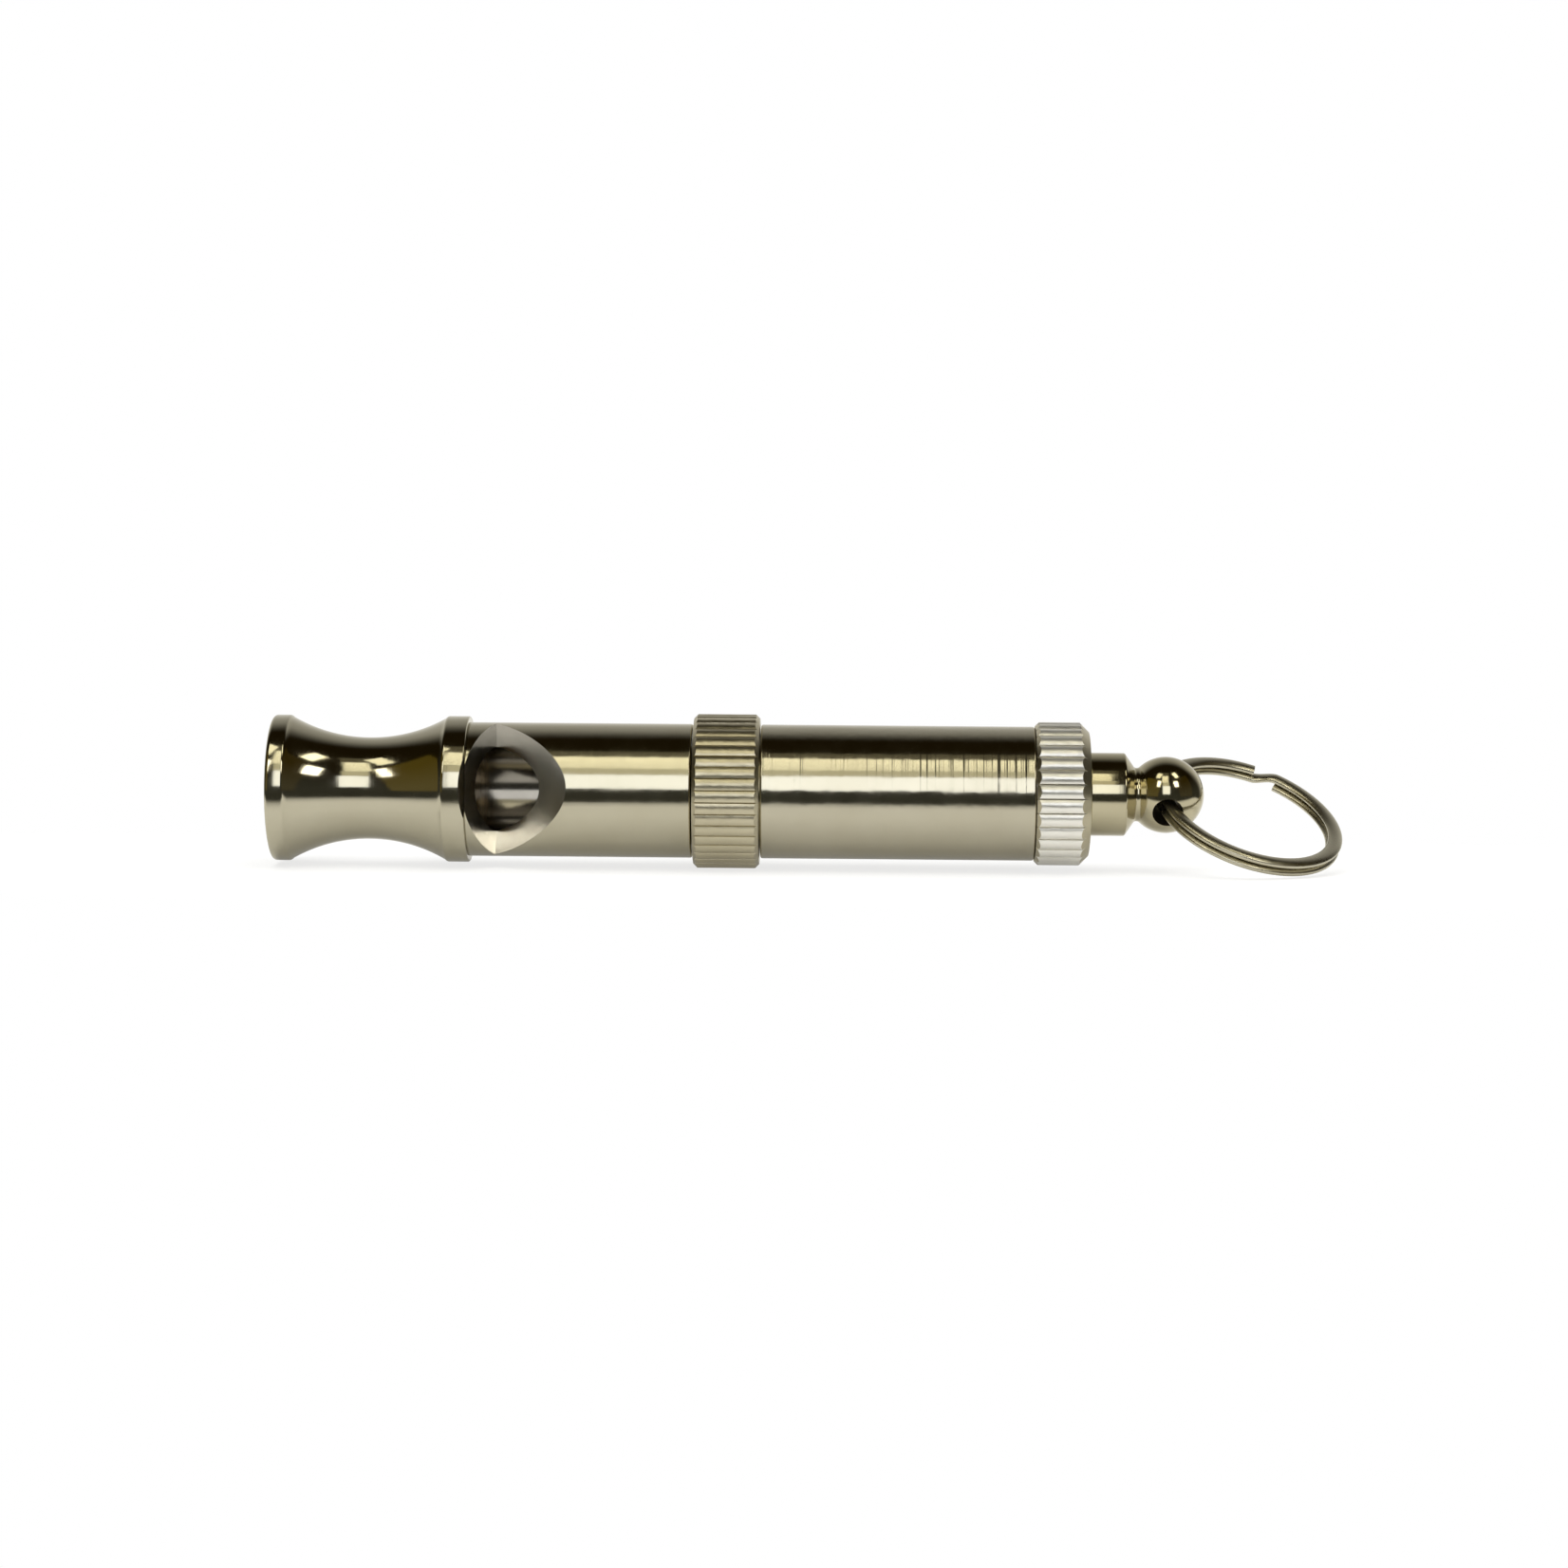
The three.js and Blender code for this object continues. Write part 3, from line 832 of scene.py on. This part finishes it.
# Split ring: two close turns of flat spring-steel wire with rounded edges, wound in one length and
# stepped over where its ends meet, nickel plated. It is prised open and wound through the ball.
RING_OUTER = 7.25
RING_INNER = 6.15
WIRE_THICKNESS = 0.6
WIRE_STEPS = 40
COIL_RISE = 0.65
COIL_STEPS = 160
STEP_PLACE = -74
STEP_SPAN = 16
STEP_PARTS = 12

loop_mount = next(mount for mount in frame["record"]["mounts"] if mount["name"] == "lanyard_ring")
loop_centre = Vector(loop_mount["pos_m"])
reach_axis = Vector(loop_mount["axis"]).normalized()
ring_turn = Matrix((reach_axis, hole_axis, reach_axis.cross(hole_axis))).transposed().to_4x4()

# Nickel plate on spring steel wire: drawn smooth before plating, so it is even and satin, with
# only a trace of rings.
ring_nickel = nickel_plate(
    "nickel plate on spring steel wire",
    "#CFC9B4",
    "#BFB9A2",
    gloss=0.26,
    haze=0.08,
    line_pitch=0.6,
    line_depth=0.0002,
)

wire_middle = Vector(((RING_OUTER + RING_INNER) / 2, 0, COIL_RISE / 2)) * MM
wire_section = Vector((RING_OUTER - RING_INNER, WIRE_THICKNESS, 1)) * MM / 2
ring_shape = bmesh.new()
bmesh.ops.create_circle(
    ring_shape,
    cap_ends=True,
    segments=WIRE_STEPS,
    radius=1,
    matrix=Matrix.Translation(wire_middle)
    @ Matrix.Rotation(math.pi / 2, 4, "X")
    @ Matrix.Diagonal(wire_section.to_4d()),
)
start_turn = Matrix.Rotation(math.radians(STEP_PLACE + STEP_SPAN / 2), 4, "Z")
bmesh.ops.transform(ring_shape, matrix=start_turn, verts=ring_shape.verts[:])
coil_turn = math.radians(360 - STEP_SPAN)
step_turn = math.radians(STEP_SPAN / STEP_PARTS)
shares = [i / STEP_PARTS for i in range(STEP_PARTS + 1)]
rises = [3 * share ** 2 - 2 * share ** 3 for share in shares]
sweeps = [(coil_turn, COIL_STEPS, 0)]
sweeps += [
    (step_turn, 1, (before - after) * COIL_RISE * MM) for before, after in zip(rises, rises[1:])
]
sweeps += [(coil_turn, COIL_STEPS, 0)]
front = ring_shape.verts[:] + ring_shape.edges[:] + ring_shape.faces[:]
for angle, steps, rise in sweeps:
    front = bmesh.ops.spin(
        ring_shape,
        geom=front,
        cent=(0, 0, 0),
        axis=(0, 0, 1),
        dvec=(0, 0, rise),
        angle=angle,
        steps=steps,
    )["geom_last"]
bmesh.ops.transform(
    ring_shape, matrix=Matrix.Translation(loop_centre) @ ring_turn, verts=ring_shape.verts[:]
)
split_ring = smoothed(placed("split_ring_wound", ring_shape, ring_nickel))
fitted(split_ring, "split_ring", "key_ring")

# Floor: a sheet of white paper under the whistle. It fades out a hand's breadth away, so that the
# pale room behind it takes over without a line and the plating sees a dark room in front.
PAPER_RADIUS = 0.3
PAPER_STEPS = 96
PAPER_SQUEEZE = (0.25, 1, 1)
PAPER_FADE_START = 0.0160
PAPER_FADE_END = 0.0285
CAMERA_SHARE = 0.75
PLATING_SHARE = 0.5
PLATING_GLOW = 0.485

floor_shape = bmesh.new()
bmesh.ops.create_circle(floor_shape, cap_ends=True, segments=PAPER_STEPS, radius=PAPER_RADIUS)
floor = placed("floor", floor_shape)

# Matt white paper: lit by the lamps, with a share of even white as the camera sees it and a share
# of even grey as the plating does, so that its shadow stays faint.
paper = bpy.data.materials.new("matt white paper")
paper.use_nodes = True
paper_tree = paper.node_tree
paper_shader = paper_tree.nodes["Principled BSDF"]
paper_shader.inputs["Base Color"].default_value = linear("#F6F6F4")
paper_shader.inputs["Roughness"].default_value = 0.9
paper_shader.inputs["Specular IOR Level"].default_value = 0
paper_rays = add(paper_tree, "ShaderNodeLightPath", {})
paper_camera = add(
    paper_tree,
    "ShaderNodeMath",
    {0: paper_rays.outputs["Is Camera Ray"], 1: CAMERA_SHARE},
    operation="MULTIPLY",
)
paper_glossy = add(
    paper_tree,
    "ShaderNodeMath",
    {0: paper_rays.outputs["Is Glossy Ray"], 1: PLATING_SHARE},
    operation="MULTIPLY",
)
paper_share = add(
    paper_tree,
    "ShaderNodeMath",
    {0: paper_camera.outputs["Value"], 1: paper_glossy.outputs["Value"]},
    operation="MAXIMUM",
)
paper_white = add(
    paper_tree,
    "ShaderNodeMapRange",
    {"Value": paper_rays.outputs["Is Camera Ray"], "To Min": PLATING_GLOW, "To Max": 1},
)
paper_glow = add(paper_tree, "ShaderNodeEmission", {"Strength": paper_white.outputs["Result"]})
paper_lit = add(
    paper_tree,
    "ShaderNodeMixShader",
    {
        0: paper_share.outputs["Value"],
        1: paper_shader.outputs["BSDF"],
        2: paper_glow.outputs["Emission"],
    },
)
paper_place = add(paper_tree, "ShaderNodeTexCoord", {}).outputs["Object"]
paper_squeeze = add(
    paper_tree, "ShaderNodeMapping", {"Vector": paper_place, "Scale": PAPER_SQUEEZE}
)
paper_reach = add(
    paper_tree, "ShaderNodeVectorMath", {0: paper_squeeze.outputs["Vector"]}, operation="LENGTH"
)
paper_fade = add(
    paper_tree,
    "ShaderNodeMapRange",
    {
        "Value": paper_reach.outputs["Value"],
        "From Min": PAPER_FADE_START,
        "From Max": PAPER_FADE_END,
        "To Min": 0,
        "To Max": 1,
    },
    interpolation_type="SMOOTHSTEP",
)
paper_gone = add(paper_tree, "ShaderNodeBsdfTransparent", {})
paper_mix = add(
    paper_tree,
    "ShaderNodeMixShader",
    {
        0: paper_fade.outputs["Result"],
        1: paper_lit.outputs["Shader"],
        2: paper_gone.outputs["BSDF"],
    },
)
paper_output = paper_tree.nodes["Material Output"]
paper_tree.links.new(paper_mix.outputs["Shader"], paper_output.inputs["Surface"])
floor.data.materials.append(paper)

# Room: white behind the whistle, as the camera and the plating see it, brown and dark overhead and
# in front, where only the lamps show. A range is where a change starts and ends, in the part of a
# ray's direction that it follows.
BEHIND_RANGE = (0.2, 0.66)
LOW_RANGE = (-0.1, 1.22)
AHEAD_RANGE = (0.6, 0.9)
HEIGHT_RANGE = (0.1, 0.6)

room = bpy.data.worlds.new("studio room")
bpy.context.scene.world = room
room.use_nodes = True
room_tree = room.node_tree
background = room_tree.nodes["Background"]
look = add(room_tree, "ShaderNodeTexCoord", {}).outputs["Generated"]
split = add(room_tree, "ShaderNodeSeparateXYZ", {"Vector": look})
behind = add(
    room_tree,
    "ShaderNodeMapRange",
    {
        "Value": split.outputs["Y"],
        "From Min": BEHIND_RANGE[0],
        "From Max": BEHIND_RANGE[1],
        "To Min": 0,
        "To Max": 1,
    },
    interpolation_type="SMOOTHSTEP",
)
lowness = add(
    room_tree,
    "ShaderNodeMapRange",
    {
        "Value": split.outputs["Z"],
        "From Min": LOW_RANGE[0],
        "From Max": LOW_RANGE[1],
        "To Min": 1,
        "To Max": 0,
    },
)
off_middle = add(room_tree, "ShaderNodeMath", {0: split.outputs["X"]}, operation="ABSOLUTE")
ahead = add(
    room_tree,
    "ShaderNodeMapRange",
    {
        "Value": off_middle.outputs["Value"],
        "From Min": AHEAD_RANGE[0],
        "From Max": AHEAD_RANGE[1],
        "To Min": 1,
        "To Max": 0,
    },
)
low_behind = add(
    room_tree,
    "ShaderNodeMath",
    {0: behind.outputs["Result"], 1: lowness.outputs["Result"]},
    operation="MULTIPLY",
)
wall = add(
    room_tree,
    "ShaderNodeMath",
    {0: low_behind.outputs["Value"], 1: ahead.outputs["Result"]},
    operation="MULTIPLY",
)
height = add(
    room_tree,
    "ShaderNodeMapRange",
    {
        "Value": split.outputs["Z"],
        "From Min": HEIGHT_RANGE[0],
        "From Max": HEIGHT_RANGE[1],
        "To Min": 0,
        "To Max": 1,
    },
)
dark = add(
    room_tree,
    "ShaderNodeMix",
    {0: height.outputs["Result"], 6: linear("#3C3C35"), 7: linear("#1E1707")},
    data_type="RGBA",
)
shown = add(
    room_tree,
    "ShaderNodeMix",
    {0: wall.outputs["Value"], 6: dark.outputs[2], 7: linear("#FBFAF5")},
    data_type="RGBA",
)
rays = add(room_tree, "ShaderNodeLightPath", {})
seen = add(
    room_tree,
    "ShaderNodeMix",
    {0: rays.outputs["Is Camera Ray"], 6: shown.outputs[2], 7: (1, 1, 1, 1)},
    data_type="RGBA",
)
room_tree.links.new(seen.outputs[2], background.inputs["Color"])
background.inputs["Strength"].default_value = 1

# Lamps: a tall window in front with a cool lower pane, a bar, a curtained warm upper pane and a
# blind, a window on either side, two dim far walls, and an overhead panel for the paper that the
# plating doesn't see.
LAMP_DISTANCE = 2


def lamp(name, azimuth, elevation, width, height, brightness, colour):
    """A soft panel that faces the whistle from two metres. Place and size are in degrees as the
    whistle sees them, and the brightness is the panel's own, where 1 would be white."""
    data = bpy.data.lights.new(name, "AREA")
    data.shape = "RECTANGLE"
    data.size = 2 * LAMP_DISTANCE * math.tan(math.radians(width / 2))
    data.size_y = 2 * LAMP_DISTANCE * math.tan(math.radians(height / 2))
    data.energy = brightness * math.pi * data.size * data.size_y
    data.color = linear(colour)[:3]
    sideways = Matrix.Rotation(math.radians(azimuth), 4, "Z")
    upward = Matrix.Rotation(math.radians(90 - elevation), 4, "X")
    panel = bpy.data.objects.new(name, data)
    panel.matrix_world = sideways @ upward @ Matrix.Translation((0, 0, LAMP_DISTANCE))
    panel.visible_camera = False
    bpy.context.scene.collection.objects.link(panel)
    return panel


lamp("front window, lower pane", -1.1, 18.75, 22, 24.5, 1.9, "#F6F9FF")
lamp("front window, bar", -3.1, 36.5, 19, 11, 0.75, "#FFFADB")
lamp("front window, upper pane", -5.7, 52.5, 18, 21, 0.75, "#FFFADF")
for fold in range(-18, 9, 3):
    lamp("front window, curtain fold", fold, 52.5, 1.05, 21, 1.35, "#FFFADF")
lamp("front window, blind", -4.7, 68, 17.5, 12, 0.12, "#FFF6D0")
lamp("side window, lower pane", 33.5, 35, 12, 16, 4.8, "#FFFCF0")
lamp("side window, upper pane", 50, 60, 10, 16, 3, "#FFFADF")
lamp("left window, lower pane", -27.5, 37, 9, 18, 3.8, "#FFFCF0")
lamp("left window, upper pane", -40, 62, 12, 16, 1.8, "#FFFADF")
lamp("far left wall", -50, 24, 50, 50, 0.14, "#D8BC4A")
lamp("far right wall", 62, 24, 45, 50, 0.05, "#C8A83C")
overhead = lamp("overhead panel", 0, 89, 70, 70, 3, "#FFFFFF")
overhead.visible_glossy = False

# Camera: the photograph's view, almost square from the side and a little above, from 28 cm. The
# view point is where its line of sight meets the whistle, as a station and as a place in the photo.
DISTANCE = 0.280
ELEVATION = math.radians(4.5)
ROLL = math.radians(0.49)
VIEW_STATION = 42.7
VIEW_ACROSS = 890
VIEW_DOWN = 834
IMAGE = 1652
FOCAL_PIXELS = 3948
SENSOR = 36

camera_data = bpy.data.cameras.new("camera")
camera_data.sensor_fit = "HORIZONTAL"
camera_data.sensor_width = SENSOR
camera_data.lens = FOCAL_PIXELS / IMAGE * SENSOR
camera_data.clip_start = 0.01
camera = bpy.data.objects.new("camera", camera_data)
facing = MOUTH + Vector((VIEW_STATION * MM, 0, 0))
level = Matrix.Rotation(math.pi / 2 - ELEVATION, 4, "X")
aside = Matrix.Rotation(math.atan((VIEW_ACROSS - IMAGE / 2) / FOCAL_PIXELS), 4, "Y")
raised = Matrix.Rotation(math.atan((VIEW_DOWN - IMAGE / 2) / FOCAL_PIXELS), 4, "X")
rolled = Matrix.Rotation(ROLL, 4, "Z")
stand = Matrix.Translation(facing) @ level @ Matrix.Translation((0, 0, DISTANCE))
camera.matrix_world = stand @ aside @ raised @ rolled
bpy.context.scene.collection.objects.link(camera)
bpy.context.scene.camera = camera
bpy.context.scene.view_settings.view_transform = "Standard"
